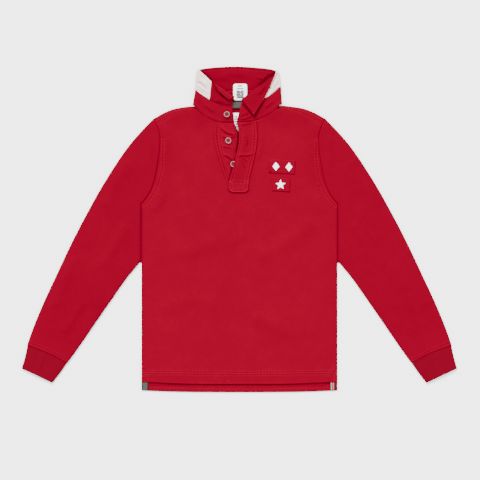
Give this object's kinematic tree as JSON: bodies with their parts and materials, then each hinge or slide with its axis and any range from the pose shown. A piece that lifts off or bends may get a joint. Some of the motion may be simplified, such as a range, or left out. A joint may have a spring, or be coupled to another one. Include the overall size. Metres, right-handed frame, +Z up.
{
  "type": "long-sleeve polo shirt",
  "caption": "Red cotton long-sleeve polo shirt laid flat, with a turned-down collar lined in white twill, a buttoned placket, ribbed cuffs, side vents and a longer back.",
  "frame": {"origin": "middle of the footprint, on the surface it lies on", "axes": "+X toward the sleeve at the picture's right, +Y toward the collar, +Z up from the surface, front of the shirt upward"},
  "size_m": [1.0446, 0.782, 0.0154],
  "materials": {
    "red_jersey": "fine garment-dyed cotton jersey, matte",
    "dark_red_rib": "fine rib knit, matte, a little darker",
    "white_twill": "cotton twill, matte",
    "label_white": "smooth woven label",
    "grey_tape": "narrow woven tape, grey between near-black edges",
    "striped_tape": "narrow woven tape with lengthwise stripes",
    "button_red": "satin, with a cream rim"
  },
  "bodies": {
    "root": {"back_panel": "red_jersey", "front_panel": "red_jersey", "sleeve_left": "red_jersey", "sleeve_right": "red_jersey", "cuff_left": "dark_red_rib", "cuff_right": "dark_red_rib", "band_inner": "red_jersey", "band_outer": "red_jersey", "top_collar": "red_jersey", "under_collar": "white_twill", "under_collar_left_front": "red_jersey", "under_collar_right_front": "red_jersey", "placket_under": "red_jersey", "placket_over": "red_jersey", "button_1": "button_red", "button_2": "button_red", "button_3": "button_red", "chest_patch_upper": "red_jersey", "chest_patch_lower": "red_jersey", "patch_star": "white_twill", "patch_lozenge_1": "white_twill", "patch_lozenge_2": "white_twill", "neck_label": "label_white", "inner_label": "label_white", "neck_tape": "grey_tape", "vent_tape_left": "grey_tape", "vent_tape_right": "striped_tape"}
  },
  "joints": []
}
